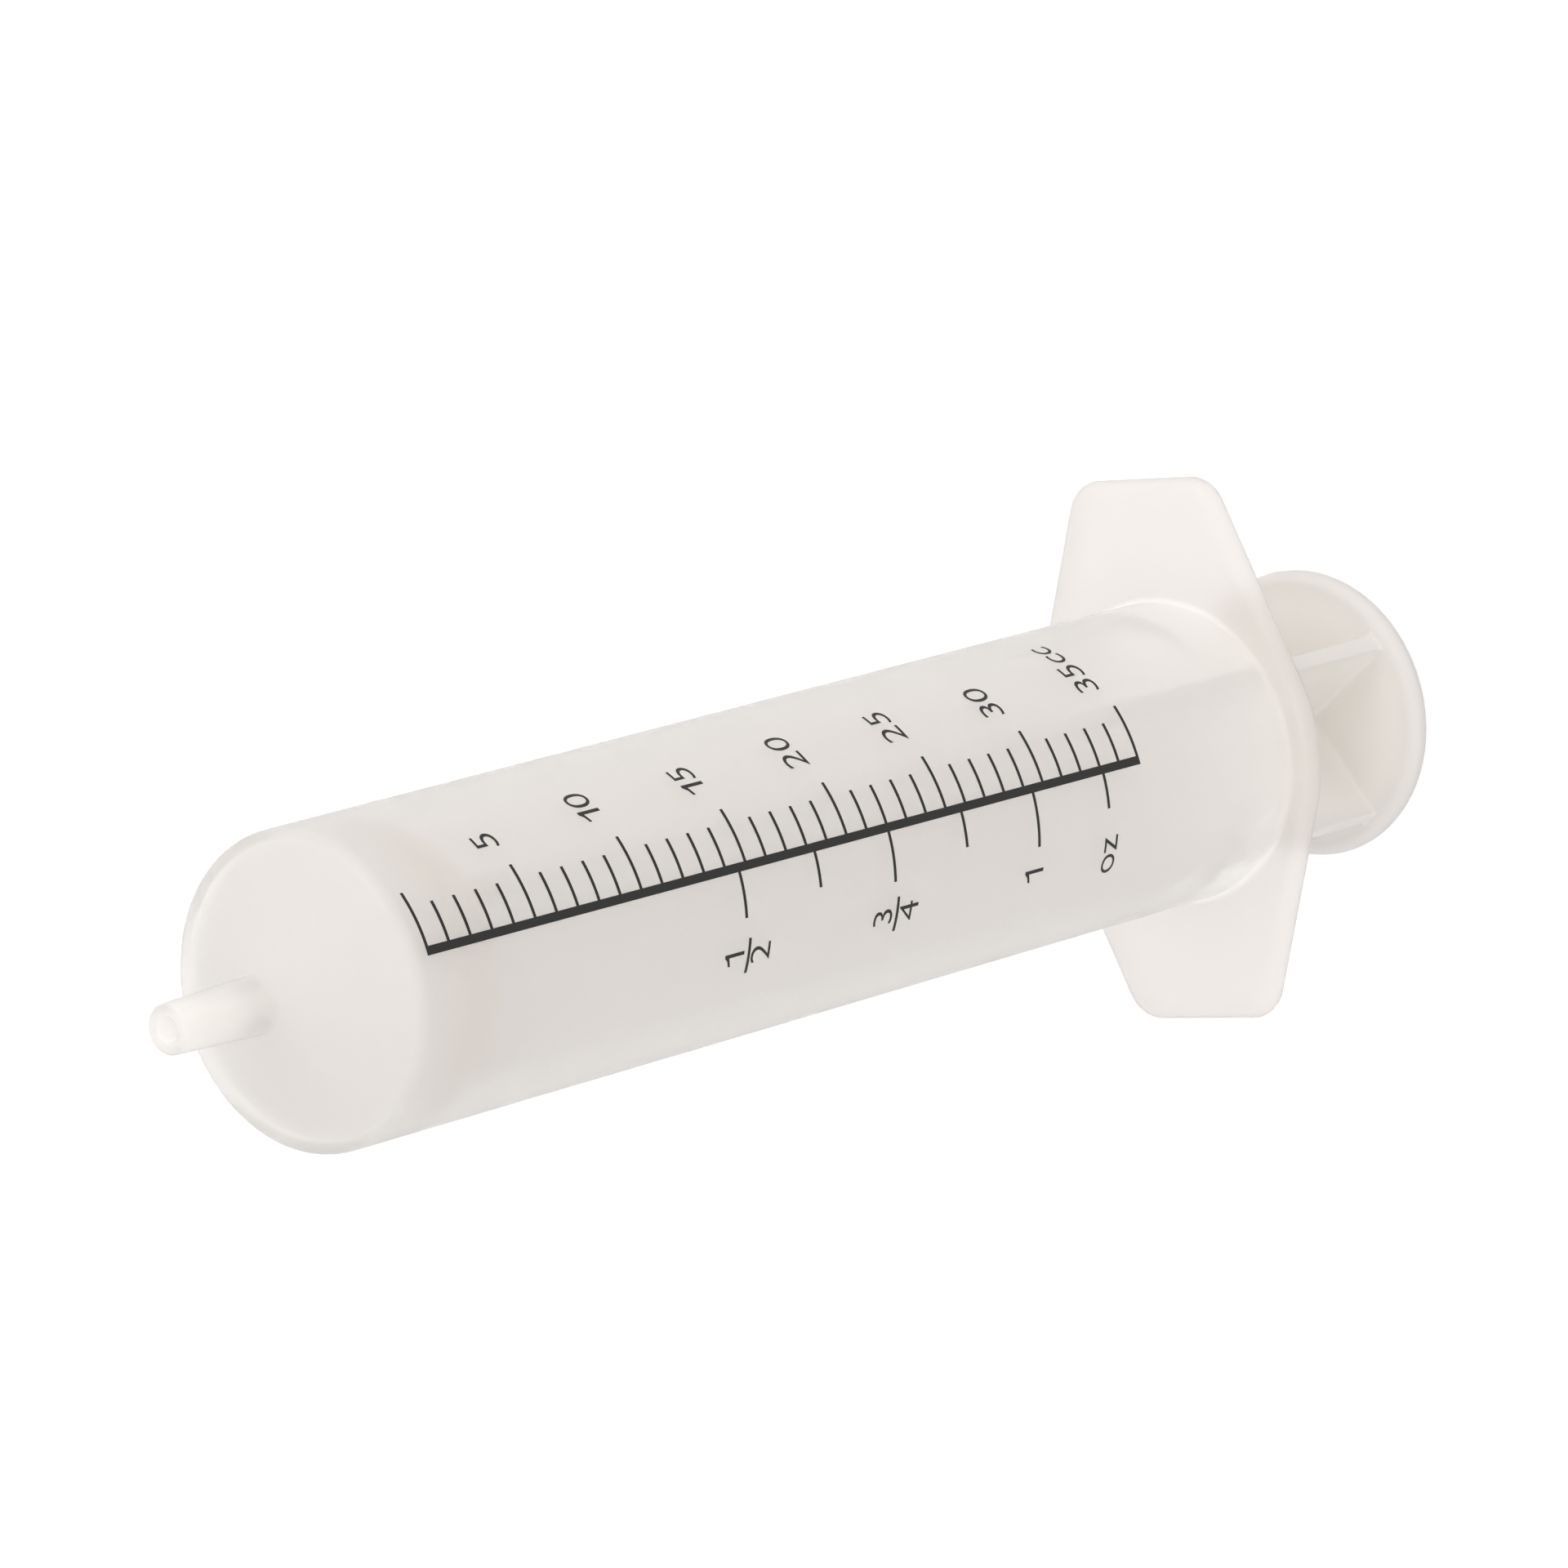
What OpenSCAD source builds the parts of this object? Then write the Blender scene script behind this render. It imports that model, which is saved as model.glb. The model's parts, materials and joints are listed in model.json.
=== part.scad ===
// Luer slip syringe, 35 cc, moulded in two pieces: a barrel and a plunger that seals by itself.
// It stands upright on its thumb disc, tip up. The origin is the middle of the disc's outer face.
// The plunger is drawn pushed fully home.

/* [Barrel tube] */
// Outside diameter of the barrel
barrel_d = 24.9; // [20:0.1:30]
// Wall thickness of the barrel and of its nose
barrel_wall = 1; // [0.8:0.05:1.2]
// Length from the outer face of the flange to the start of the nose
barrel_len = 106.9; // [80:0.1:140]
// Radius that rounds the barrel into its nose
shoulder_r = 1.4; // [1.3:0.1:3]
// Height of the nose, from the end of the straight tube to the foot of the tip
nose_h = 5.8; // [4.5:0.1:9]

/* [Slip tip] */
// Diameter of the conical tip at its free end
tip_end_d = 3.96; // [3.9:0.01:4]
// Growth of the tip's diameter per unit of its length, the 6 percent luer taper
tip_taper = 0.06; // [0.055:0.005:0.065]
// Length of the tip from its foot on the nose to its end
tip_len = 9.5; // [8:0.1:12]
// Diameter of the fluid channel through the tip
channel_d = 2; // [1.4:0.1:2.4]
// Radius of the fillet at the tip's foot
tip_fillet_r = 0.6; // [0.3:0.05:1]
// Radius that breaks the outer edge at the tip's end
tip_edge_r = 0.3; // [0.1:0.05:0.5]

/* [Finger flange] */
// Thickness of the flange, whose edge is fully round
flange_t = 2.2; // [1.6:0.1:3]
// Distance across both wings
wing_span = 45; // [42:0.5:60]
// Width of a wing at its free end
wing_end_w = 15.8; // [12:0.1:20]
// Radius of the wing's corners
wing_corner_r = 3.2; // [2:0.1:5]
// How far the round middle of the flange stands out from the tube
ring_w = 2.15; // [1.8:0.05:5]
// Radius of the fillet between the tube and the flange
flange_fillet_r = 0.5; // [0.2:0.05:0.7]

/* [Barrel mouth] */
// Depth of the cone that leads the plunger in
lead_in_h = 1.5; // [1:0.1:2]
// Radial growth of the bore over that cone
lead_in_w = 0.5; // [0.3:0.05:0.6]
// Distance from the flange's outer face to the top of the retaining bead
bead_inset = 7; // [5:0.1:12]
// Height of the retaining bead above the bore
bead_h = 0.3; // [0.2:0.05:0.4]
// Length of the retaining bead along the bore
bead_w = 1.6; // [1:0.1:2.5]

/* [Plunger head] */
// Distance from the end of the straight bore back to the plunger's front seal, where the scale starts
zero_inset = 0.7; // [0.4:0.1:1.5]
// Length of the head's skirt, from the front seal to its rear rim
head_len = 8.8; // [7:0.1:12]
// Wall thickness of the head's face and skirt
head_wall = 1.2; // [1:0.05:1.6]
// Length of each sealing lip along the bore
lip_w = 2; // [1.2:0.1:2.4]
// Depth of the groove between the lips
groove_depth = 0.8; // [0.5:0.05:1.2]
// Radial clearance of the lips in the bore
seal_gap = 0.05; // [0.02:0.01:0.1]
// Clearance between the head's face and the inside of the nose
face_gap = 0.3; // [0.2:0.05:0.6]

/* [Plunger rod] */
// Thickness of the four ribs
rib_t = 1.4; // [1:0.1:2]
// Clearance between the ribs' edges and the bore
rib_gap = 0.7; // [0.5:0.05:1.2]
// Radius of the fillets in the rod's inner corners
rib_fillet_r = 0.8; // [0.4:0.1:1.5]
// Angle of the ribs about the axis, seen from the tip
plunger_turn = 34; // [0:1:89]

/* [Thumb disc] */
// How far the thumb disc stands out beyond the ribs
thumb_rim = 1.3; // [1:0.05:4]
// Thickness of the thumb disc, whose edge is fully round
thumb_t = 2.1; // [1.6:0.1:3]
// Free space between the thumb disc and the flange with the plunger home
thumb_gap = 15.7; // [12:0.1:25]

/* [Hidden] */
$fn = 96;
hull_fn = 48;
arc_steps = 8;
cut_over = 1;

barrel_r = barrel_d / 2;
bore_r = barrel_r - barrel_wall;
channel_r = channel_d / 2;
tip_end_r = tip_end_d / 2;
tip_foot_r = tip_end_r + tip_len * tip_taper / 2;
taper_angle = atan(tip_taper / 2);
tip_edge_x = tip_end_r - tip_edge_r * (1 - sin(taper_angle)) / cos(taper_angle);

mouth_z = thumb_t + thumb_gap;
tube_end_z = mouth_z + barrel_len;
tip_foot_z = tube_end_z + nose_h;
tip_end_z = tip_foot_z + tip_len;
bead_z = mouth_z + bead_inset;
seal_z = tube_end_z - zero_inset;

// The nose cone leaves the foot of the tip and touches the shoulder's circle
shoulder_x = barrel_r - shoulder_r;
foot_to_shoulder = norm([shoulder_x - tip_foot_r, nose_h]);
nose_slope = atan2(nose_h, shoulder_x - tip_foot_r) - asin(shoulder_r / foot_to_shoulder);

lip_r = bore_r - seal_gap;
groove_r = lip_r - groove_depth;
head_bore_r = groove_r - head_wall;
lip_land = lip_w / 4;
face_depth = barrel_wall + face_gap;
rib_reach = bore_r - rib_gap;
head_rear_z = seal_z - head_len;
wing_x = wing_span / 2 - wing_corner_r;
wing_y = wing_end_w / 2 - wing_corner_r;

// Points along an arc, both ends included
function arc(centre, radius, from, to) =
    [for (i = [0:arc_steps])
        let (a = from + (to - from) * i / arc_steps)
        centre + radius * [cos(a), sin(a)]];

// Height of a line that runs inside the nose cone at a given depth under its skin
function nose_height(x, depth) =
    tip_foot_z + (tip_foot_r - x) * tan(nose_slope) - depth / cos(nose_slope);

// Points of the shoulder's arc at a given depth under the barrel's skin
function shoulder(depth) =
    arc([shoulder_x, tube_end_z], shoulder_r - depth, 0, 90 - nose_slope);

// Fillet where the nose cone turns up into the tip
function foot_fillet() =
    let (turn = 90 - nose_slope - taper_angle,
         reach = tip_fillet_r * tan(turn / 2),
         start = [tip_foot_r + reach * cos(nose_slope), tip_foot_z - reach * sin(nose_slope)],
         centre = start + tip_fillet_r * [sin(nose_slope), cos(nose_slope)])
    arc(centre, tip_fillet_r, 270 - nose_slope, 180 + taper_angle);

// Fillet where the flange turns up into the tube
function flange_fillet() =
    arc([barrel_r + flange_fillet_r, mouth_z + flange_t + flange_fillet_r], flange_fillet_r, 270, 180);

// Flat puck with a fully round edge
module puck(radius, thickness) {
    edge_r = thickness / 2;
    rotate_extrude() {
        square([radius - edge_r, thickness]);
        translate([radius - edge_r, edge_r])
            circle(edge_r);
    }
}

// Finger flange: a round middle drawn out into two wings
module flange_plate() {
    translate([0, 0, mouth_z])
        hull($fn = hull_fn) {
            puck(barrel_r + ring_w, flange_t);
            for (x = [-wing_x, wing_x], y = [-wing_y, wing_y])
                translate([x, y, 0])
                    puck(wing_corner_r, flange_t);
        }
}

// Outside of the tube, nose and tip as one turned body
module barrel_skin() {
    rotate_extrude()
        polygon(concat(
            [[0, mouth_z], [barrel_r + flange_fillet_r, mouth_z]],
            flange_fillet(),
            shoulder(0),
            foot_fillet(),
            arc([tip_edge_x, tip_end_z - tip_edge_r], tip_edge_r, taper_angle, 90),
            [[0, tip_end_z]]));
}

// Space inside the barrel: bore, nose and fluid channel
module barrel_space() {
    rotate_extrude()
        polygon(concat(
            [[0, mouth_z - cut_over], [bore_r, mouth_z - cut_over]],
            shoulder(barrel_wall),
            [[channel_r, nose_height(channel_r, barrel_wall)],
             [channel_r, tip_end_z + cut_over],
             [0, tip_end_z + cut_over]]));
}

// Cone that opens the mouth for the plunger
module lead_in() {
    lead_slope = lead_in_w / lead_in_h;
    translate([0, 0, mouth_z - cut_over])
        cylinder(h = lead_in_h + cut_over, r1 = bore_r + lead_in_w + cut_over * lead_slope, r2 = bore_r);
}

// Low bead inside the mouth that keeps the plunger from being pulled out
module retaining_bead() {
    rotate_extrude()
        polygon([
            [bore_r + barrel_wall / 2, bead_z - bead_w],
            [bore_r, bead_z - bead_w],
            [bore_r - bead_h, bead_z - bead_w / 2],
            [bore_r, bead_z],
            [bore_r + barrel_wall / 2, bead_z]]);
}

module barrel() {
    color("#e9e6e1", 0.55) {
        difference() {
            union() {
                barrel_skin();
                flange_plate();
            }
            barrel_space();
            lead_in();
        }
        retaining_bead();
    }
}

// Outline of a sealing lip from its lower to its upper edge, with both edges broken
function lip(low_z) =
    [[groove_r, low_z],
     [lip_r, low_z + lip_land],
     [lip_r, low_z + lip_w - lip_land],
     [groove_r, low_z + lip_w]];

// Thin-walled head: a cone that follows the nose, and a skirt with two sealing lips
module head() {
    rotate_extrude()
        polygon(concat(
            [[head_bore_r, head_rear_z],
             [groove_r, head_rear_z]],
            lip(head_rear_z + head_wall),
            [[groove_r, seal_z - lip_w],
             [lip_r, seal_z - lip_w + lip_land],
             [lip_r, seal_z],
             [groove_r, nose_height(groove_r, face_depth)],
             [channel_r, nose_height(channel_r, face_depth)],
             [0, nose_height(channel_r, face_depth)],
             [0, nose_height(0, face_depth + head_wall)],
             [head_bore_r, nose_height(head_bore_r, face_depth + head_wall)]]));
}

// Cross of four ribs from the thumb disc up into the head's walls
module rod() {
    ribs_top = nose_height(0, face_depth + head_wall / 2);
    skirt_mid_r = head_bore_r + head_wall / 2;
    skirt_low_z = head_rear_z + head_wall / 2;
    intersection() {
        translate([0, 0, thumb_t / 2])
            linear_extrude(ribs_top)
                rod_section();
        rotate_extrude()
            polygon([
                [0, 0],
                [rib_reach, 0],
                [rib_reach, head_rear_z - head_wall],
                [skirt_mid_r, skirt_low_z],
                [skirt_mid_r, nose_height(skirt_mid_r, face_depth + head_wall / 2)],
                [0, ribs_top]]);
    }
}

// Section of the rod: two crossed webs with filleted inner corners
module rod_section() {
    web_l = 2 * rib_reach;
    corner = rib_t / 2 + rib_fillet_r;
    difference() {
        union() {
            square([web_l, rib_t], center = true);
            square([rib_t, web_l], center = true);
            square([2 * corner, 2 * corner], center = true);
        }
        for (x = [-corner, corner], y = [-corner, corner])
            translate([x, y])
                circle(rib_fillet_r);
    }
}

module plunger() {
    color("#e4ddd4", 0.7)
        rotate([0, 0, plunger_turn]) {
            head();
            rod();
            puck(rib_reach + thumb_rim, thumb_t);
        }
}

barrel();
plunger();
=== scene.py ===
"""Moulded shells, printed scale and studio for a luer slip syringe, around its fixed construction model."""

import json
import math

import bmesh
import bpy
from mathutils import Matrix, Vector


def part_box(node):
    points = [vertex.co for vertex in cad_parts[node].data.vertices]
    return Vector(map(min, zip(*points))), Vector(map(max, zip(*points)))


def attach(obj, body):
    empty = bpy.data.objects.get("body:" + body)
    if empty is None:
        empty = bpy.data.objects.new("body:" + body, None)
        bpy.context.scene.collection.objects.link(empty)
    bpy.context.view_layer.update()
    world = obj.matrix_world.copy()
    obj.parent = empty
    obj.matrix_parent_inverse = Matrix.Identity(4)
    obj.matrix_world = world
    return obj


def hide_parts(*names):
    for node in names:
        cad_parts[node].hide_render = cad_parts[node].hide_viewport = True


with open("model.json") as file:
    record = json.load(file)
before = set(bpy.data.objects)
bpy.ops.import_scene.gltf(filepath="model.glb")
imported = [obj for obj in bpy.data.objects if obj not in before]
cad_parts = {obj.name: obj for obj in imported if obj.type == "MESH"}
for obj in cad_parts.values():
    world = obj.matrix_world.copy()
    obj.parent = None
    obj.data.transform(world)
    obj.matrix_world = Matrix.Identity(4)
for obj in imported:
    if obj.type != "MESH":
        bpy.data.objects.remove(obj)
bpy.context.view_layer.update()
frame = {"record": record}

bl_info = {
    "name": "Luer slip syringe",
    "version": (1, 0, 0),
    "blender": (4, 5, 0),
    "location": "3D View > Sidebar > Syringe",
    "description": "Builds the finished barrel, plunger, printed scale and studio of a slip-tip syringe",
    "category": "Add Mesh",
}

MM = 0.001
CUBIC_CM = 1e-6
MOUNTS = {mount["name"]: mount for mount in frame["record"]["mounts"]}
BARREL_LOW, BARREL_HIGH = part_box("barrel")
PLUNGER_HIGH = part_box("plunger")[1]


def mount_size(mount, size):
    """A radius or length of one of the part's mounts, in metres."""
    return MOUNTS[mount]["dims"][size] * MM


# Sizes that the construction model fixes
TUBE_R = mount_size("barrel_outside", "r_mm")
CHANNEL_R = mount_size("tip_channel", "r_mm")
TIP_END_R = mount_size("luer_tip", "r_mm")
MOUTH_Z = BARREL_LOW[2]
TIP_END_Z = BARREL_HIGH[2]
WING_END_X = BARREL_HIGH[0]
RING_R = BARREL_HIGH[1]
FLANGE_FRONT_Z = MOUNTS["finger_rest"]["pos_m"][2]
TUBE_END_Z = MOUNTS["barrel_outside"]["pos_m"][2] + mount_size("barrel_outside", "length_mm") / 2
FLANGE_FILLET_R = TUBE_END_Z - mount_size("barrel_outside", "length_mm") - FLANGE_FRONT_Z

# Sizes of the finishes' patterns: tint patches, orange peel and its depth, mesh of the print
CLOUD_SIZE = 16 * MM
PEEL_SIZE = 0.9 * MM
PEEL_DEPTH = 0.02 * MM
INK_MESH_SIZE = 0.25 * MM

# Distances under which points count as one: in a skin, after a union or a cut, on a cutting plane, and in
# a character of the font's size 1
SKIN_WELD = 1e-4 * MM
CUT_WELD = 1e-3 * MM
PLANE_WELD = 1e-5 * MM
GLYPH_WELD = 1e-3

# How far the edges of the built-in font's strokes are drawn in, as a share of its size
STROKE_INSET = 0.01

# Corners of the figure 1, as shares of its height
FIGURE_ONE = [(0.3, 0), (0.42, 0), (0.42, 1), (0.32, 1), (0.2, 0.86), (0, 0.78), (0, 0.68), (0.3, 0.78)]

# Place, side and power of each softbox
SOFTBOXES = {
    "key_softbox": ((1.1, -0.1, 0.9), 0.9, 4.0),
    "fill_softbox": ((-0.7, -1.0, 0.7), 1.0, 1.5),
}


def length(name, description, millimetres):
    """A size that a user may change, kept in metres."""
    return bpy.props.FloatProperty(
        name=name, description=description, default=millimetres * MM, precision=5, unit="LENGTH")


def angle(name, description, degrees):
    """An angle that a user may change."""
    return bpy.props.FloatProperty(
        name=name, description=description, default=math.radians(degrees), precision=4, unit="ROTATION")


def linear(hex_colour):
    """The linear red, green, blue and alpha of an sRGB hex colour."""
    shares = [int(hex_colour[i:i + 2], 16) / 255 for i in (1, 3, 5)]
    return [s / 12.92 if s <= 0.04045 else ((s + 0.055) / 1.055) ** 2.4 for s in shares] + [1.0]


def colour(name, description, hex_colour):
    """A colour that a user may change, given as sRGB hex."""
    return bpy.props.FloatVectorProperty(
        name=name, description=description, default=linear(hex_colour), size=4, min=0, max=1,
        subtype="COLOR")


class SyringeBarrelSizes(bpy.types.PropertyGroup):
    """Sizes of the barrel moulding that the construction model's mounts don't give."""

    wall: length("Wall", "Thickness of the tube and of the nose", 1.0)
    shoulder_r: length("Shoulder", "Radius that rounds the tube into its nose", 1.4)
    nose_h: length("Nose height", "From the end of the straight tube to the foot of the tip", 5.8)
    tip_foot_fillet_r: length("Tip foot fillet", "Fillet where the nose turns up into the tip", 0.6)
    tip_edge_r: length("Tip edge", "Radius that breaks the outer edge at the tip's end", 0.3)
    tip_taper: bpy.props.FloatProperty(
        name="Tip taper", description="Growth of the tip's diameter per unit of its length", default=0.06)
    wing_end_w: length("Wing end", "Width of a wing at its free end", 15.8)
    wing_corner_r: length("Wing corners", "Radius of the wing's corners", 3.2)
    lead_in_h: length("Lead-in depth", "Depth of the cone that leads the plunger in", 1.5)
    lead_in_w: length("Lead-in width", "Radial growth of the bore over that cone", 0.5)
    bead_inset: length("Bead inset", "From the flange's outer face to the top of the retaining bead", 7.0)
    bead_h: length("Bead height", "Height of the retaining bead above the bore", 0.3)
    bead_w: length("Bead width", "Length of the retaining bead along the bore", 1.6)
    broken_edge_r: length("Broken edges", "Radius of the edges that the mould leaves sharp", 0.12)


class SyringePlungerSizes(bpy.types.PropertyGroup):
    """Sizes of the plunger moulding."""

    disc_t: length("Disc", "Thickness of the thumb disc", 2.1)
    rib_t: length("Rib", "Thickness of the four ribs", 1.4)
    rib_gap: length("Rib gap", "Clearance between the ribs' edges and the bore", 0.7)
    rib_edge_r: length("Rib edges", "Radius of the ribs' outer edges", 0.25)
    inner_fillet_r: length("Inner fillets", "Radius of the fillets in the rod's inner corners", 0.8)
    base_fillet_r: length("Base fillet", "Radius of the fillet between the ribs and the thumb disc", 0.5)
    turn: angle("Turn", "Angle of the ribs about the axis, seen from the tip", 34)
    zero_inset: length("Zero inset", "From the end of the straight bore back to the front seal", 0.7)
    head_len: length("Head", "Length of the head's skirt", 8.8)
    head_wall: length("Head wall", "Wall of the head's face and skirt", 1.2)
    lip_w: length("Lip", "Length of each sealing lip along the bore", 2.0)
    groove_depth: length("Groove", "Depth of the groove between the lips", 0.8)
    seal_gap: length("Seal gap", "Radial clearance of the lips in the bore", 0.05)
    face_gap: length("Face gap", "Clearance between the head's face and the inside of the nose", 0.3)


class SyringeScaleSizes(bpy.types.PropertyGroup):
    """Layout of the printed scale, with the tip up. Right of the bar is cc, left of it is ounces."""

    marks: bpy.props.IntProperty(name="Marks", description="Highest cc mark", default=35)
    long_every: bpy.props.IntProperty(name="Long every", description="cc between two long marks", default=5)
    zero_inset: length("Zero inset", "From the end of the straight tube down to the 0 mark", 0.7)
    bar_azimuth: angle("Bar azimuth", "Where the bar stands round the tube", -78)
    skew: angle("Skew", "How far the whole print leans to the left towards the flange", 0.32)
    bar_w: length("Bar", "Width of the bar", 0.7)
    line_w: length("Line", "Width of the marks", 0.3)
    long_mark: length("Long mark", "From the bar's middle to the end of a long cc mark", 4.8)
    short_mark: length("Short mark", "From the bar's middle to the end of a short cc mark", 3.6)
    ounce_cc: bpy.props.FloatProperty(
        name="Ounce", description="Fluid ounce in cc", default=29.574)
    ounce_shift_cc: bpy.props.FloatProperty(
        name="Ounce shift", description="Shift of the ounce marks towards the tip, in cc", default=0.18)
    ounce_marks: bpy.props.IntProperty(
        name="Ounce marks", description="Number of eighth marks, from the half ounce on", default=6)
    ounce_long: length("Long ounce mark", "Length of the half ounce mark from the bar's middle", 3.95)
    ounce_growth: length("Ounce growth", "What each later ounce mark adds to a long one's length", 0.19)
    ounce_short: length("Short ounce mark", "Length of an eighth mark from the bar's middle", 3.15)
    lift: length("Ink base", "Height of the ink's underside over the tube", 0.005)
    ink_t: length("Ink", "Thickness of the ink", 0.02)
    digit_h: length("Digits", "Height of the cc numbers", 2.4)
    digit_x: length("Digit place", "From the bar's middle to the left edge of the cc numbers", 6.6)
    digit_rise: length("Digit rise", "From the last cc mark up to the foot of its number", 0.15)
    digit_drift: length("Digit drift", "Drop of a cc number for each cc between it and the last mark", 0.022)
    digit_wide: bpy.props.FloatProperty(
        name="Digit width", description="Width of the numbers against the built-in font's", default=1.1)
    digit_gap: length("Digit gap", "Space between two characters", 0.4)
    unit_wide: bpy.props.FloatProperty(
        name="Unit width", description="Width of the units against the built-in font's", default=1.0)
    cc_h: length("cc height", "Height of the unit after the last cc number", 1.7)
    cc_x: length("cc place", "From the bar's middle to the left edge of that unit", 10.3)
    ounce_x: length("Ounce place", "From the bar's middle to the middle of the ounce numbers", 7.05)
    ounce_h: length("Ounce digits", "Height of the ounce numbers", 2.26)
    over_rise: length("Numerator rise", "From an ounce mark up to the foot of a numerator", 0.14)
    stroke_drop: length("Stroke drop", "From an ounce mark down to the foot of a fraction's stroke", 0.6)
    stroke_l: length("Stroke length", "Length of a fraction's stroke", 2.9)
    stroke_w: length("Stroke width", "Width of a fraction's stroke", 0.3)
    under_drop: length("Denominator drop", "From an ounce mark down to the foot of a denominator", 3.0)
    one_drop: length("One drop", "From the 1 ounce mark down to the foot of its number", 0.73)
    oz_h: length("oz height", "Height of the unit after the last ounce mark", 1.6)
    oz_drop: length("oz drop", "From the last ounce mark down to the foot of that unit", 1.15)
    strip_w: length("Strips", "Width of the strips that bend the print round the tube", 0.3)


class SyringeColours(bpy.types.PropertyGroup):
    """Colours of the two plastics and of the ink, and three darker tints that are painted shade."""

    barrel_warm: colour("Barrel, warm", "Warmer patches of the barrel's wall", "#fefbf9")
    barrel_cool: colour("Barrel, cool", "Cooler patches of the barrel's wall", "#fdfbf8")
    # Painted shade: the wings' darker tint stands in for shade on their lit flats, not the plastic's own
    # colour
    barrel_deep: colour("Flange", "The wings of the flange, twice as thick as the wall", "#f3efec")
    plunger_warm: colour("Plunger, warm", "Warmer patches of the plunger", "#f9f6f1")
    plunger_cool: colour("Plunger, cool", "Cooler patches of the plunger", "#f9f5ef")
    # Painted shade: the head's skirt gets a darker tan for the shade that shows through the barrel's wall
    plunger_deep: colour("Plunger seal", "The head's skirt, close behind the barrel's wall", "#ebe0d0")
    # Painted shade: the thumb disc's rim gets a darker, greyer tint that stands in for shade
    plunger_rim: colour("Plunger rim", "The thumb disc's full rim", "#eeeae6")
    ink: colour("Ink", "Printing ink where it lies thick", "#0a0908")
    ink_thin: colour("Ink, thin", "Printing ink where it lies thin", "#181614")


class SyringeStage(bpy.types.PropertyGroup):
    """Camera and studio."""

    lens: bpy.props.FloatProperty(
        name="Lens", description="Focal length on a 36 mm sensor", default=239.163, unit="CAMERA")
    distance: length("Distance", "From the camera to the point it looks at", 821.316)
    target: bpy.props.FloatVectorProperty(
        name="Target", description="Point that the camera looks at",
        default=(5.553 * MM, 1.016 * MM, 66.951 * MM), subtype="TRANSLATION")
    azimuth: angle("Azimuth", "Where the camera stands: 0 looks along +Y", -10.371)
    elevation: angle("Elevation", "Height of the camera over the horizon", 48.331)
    roll: angle("Roll", "Turn of the camera about its own axis", 105.095)
    tent_light: bpy.props.FloatProperty(
        name="Tent", description="Strength of the light from all round", default=1.1)
    board: colour("Board", "Colour of the floor", "#dcdcdc")
    board_glow: bpy.props.FloatProperty(
        name="Board glow", description="Strength of the floor's white for the camera", default=1.12)
    board_share: bpy.props.FloatProperty(
        name="Board share", description="Share of that white; the rest shows shadow", default=0.8)


GROUPS = {
    "syringe_barrel": SyringeBarrelSizes,
    "syringe_plunger": SyringePlungerSizes,
    "syringe_scale": SyringeScaleSizes,
    "syringe_colours": SyringeColours,
    "syringe_stage": SyringeStage,
}


def arc(centre, radius, start, end, steps):
    """Points of an arc from start to end, in degrees, both ends included."""
    turns = [math.radians(start + (end - start) * i / steps) for i in range(steps + 1)]
    return [(centre[0] + radius * math.cos(a), centre[1] + radius * math.sin(a)) for a in turns]


def between(start, end, parts):
    """Points that cut the line from start to end into equal parts, without its two ends."""
    return [tuple(s + (e - s) * i / parts for s, e in zip(start, end)) for i in range(1, parts)]


def smooth_mesh(name, verts, faces):
    """A mesh with merged doubles, outward normals and smooth shading."""
    mesh = bpy.data.meshes.new(name)
    mesh.from_pydata(verts, [], faces)
    bm = bmesh.new()
    bm.from_mesh(mesh)
    bmesh.ops.remove_doubles(bm, verts=bm.verts, dist=SKIN_WELD)
    bmesh.ops.recalc_face_normals(bm, faces=bm.faces)
    bm.to_mesh(mesh)
    bm.free()
    mesh.shade_smooth()
    return mesh


def loft(name, rings, looped):
    """A skin through rings that all have the same number of points. Looped, the last ring joins the first.
    Otherwise a fan closes each end on its middle."""
    count = len(rings[0])
    verts = [point for ring in rings for point in ring]
    last = len(rings) if looped else len(rings) - 1
    faces = []
    for row in range(last):
        low, high = row * count, (row + 1) % len(rings) * count
        for i in range(count):
            j = (i + 1) % count
            faces.append((low + i, low + j, high + j, high + i))
    if not looped:
        for start, ring in ((0, rings[0]), ((len(rings) - 1) * count, rings[-1])):
            verts.append(tuple(sum(point[axis] for point in ring) / count for axis in range(3)))
            faces += [(start + i, start + (i + 1) % count, len(verts) - 1) for i in range(count)]
    return smooth_mesh(name, verts, faces)


def new_piece(name, mesh, material, body):
    """An object at the origin for a finished mesh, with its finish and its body."""
    piece = bpy.data.objects.new(name, mesh)
    bpy.context.collection.objects.link(piece)
    mesh.materials.clear()
    mesh.materials.append(material)
    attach(piece, body)
    return piece


def add(tree, kind, inputs=(), **settings):
    """Adds a node with its settings. Each input, by its name or in order, gets a value, another node's output
    or another node, which stands for its first output."""
    node = tree.nodes.new(kind)
    for key, value in settings.items():
        setattr(node, key, value)
    for key, value in inputs.items() if isinstance(inputs, dict) else enumerate(inputs):
        if isinstance(value, bpy.types.Node):
            value = value.outputs[0]
        if isinstance(value, bpy.types.NodeSocket):
            tree.links.new(value, node.inputs[key])
        else:
            node.inputs[key].default_value = value
    return node


def new_material(name):
    """An empty node material, and its tree."""
    material = bpy.data.materials.new(name)
    material.use_nodes = True
    material.node_tree.nodes.clear()
    return material, material.node_tree


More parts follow.
